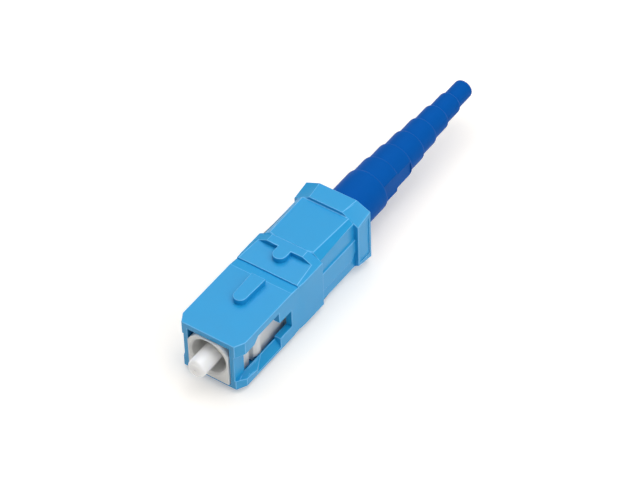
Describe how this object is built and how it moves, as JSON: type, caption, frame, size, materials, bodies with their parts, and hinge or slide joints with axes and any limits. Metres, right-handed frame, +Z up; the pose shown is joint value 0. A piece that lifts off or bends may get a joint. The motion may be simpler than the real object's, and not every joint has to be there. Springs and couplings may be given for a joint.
{
  "type": "sc fibre connector",
  "caption": "Push-pull SC fibre plug: keyed square shroud over a plug frame, a sprung ceramic ferrule, a cam-closed splice inside and a stepped strain-relief boot.",
  "frame": {"origin": "on the ferrule's axis, in the plane of the shroud's front face", "axes": "-Y the way the plug goes in, +Y along the axis to the boot's end, +Z up through the polarity key, +X to the right seen from the front"},
  "size_m": [0.0094, 0.0577, 0.0094],
  "materials": {
    "shroud_blue": "satin moulded plastic",
    "frame_white": "satin moulded plastic",
    "ferrule_ceramic": "ground and polished zirconia",
    "fibre_glass": "polished",
    "holder_polymer": "natural moulded plastic",
    "splice_polymer": "moulded plastic",
    "cam_polymer": "moulded plastic",
    "spring_steel": "drawn wire",
    "retainer_polymer": "satin moulded plastic",
    "crimp_brass": "drawn tube",
    "liner_polymer": "smooth",
    "boot_rubber": "matt elastomer"
  },
  "bodies": {
    "core": {"plug_frame": "frame_white", "spring_retainer": "retainer_polymer", "boot": "boot_rubber"},
    "shroud": {"outer_shroud": "shroud_blue"},
    "ferrule_carrier": {"ferrule": "ferrule_ceramic", "fibre_stub": "fibre_glass", "ferrule_holder": "holder_polymer", "lower_splice": "splice_polymer", "upper_splice": "splice_polymer", "compression_spring": "spring_steel", "crimp_tube": "crimp_brass", "lead_in_tube": "liner_polymer"},
    "cam": {"cam_sleeve": "cam_polymer"}
  },
  "joints": [
    {"name": "shroud_pull", "type": "slide", "parent": "core", "child": "shroud", "axis": [0, 1, 0], "range_m": [0, 0.0015]},
    {"name": "ferrule_float", "type": "slide", "parent": "core", "child": "ferrule_carrier", "axis": [0, 1, 0], "range_m": [0, 0.0015], "stiffness_N_per_m": 2000, "springref_m": -0.004, "deforming": ["compression_spring"]},
    {"name": "cam_turn", "type": "hinge", "parent": "ferrule_carrier", "child": "cam", "pos_m": [0, 0.02, 0], "axis": [0, 1, 0], "range_deg": [0, 90]}
  ]
}
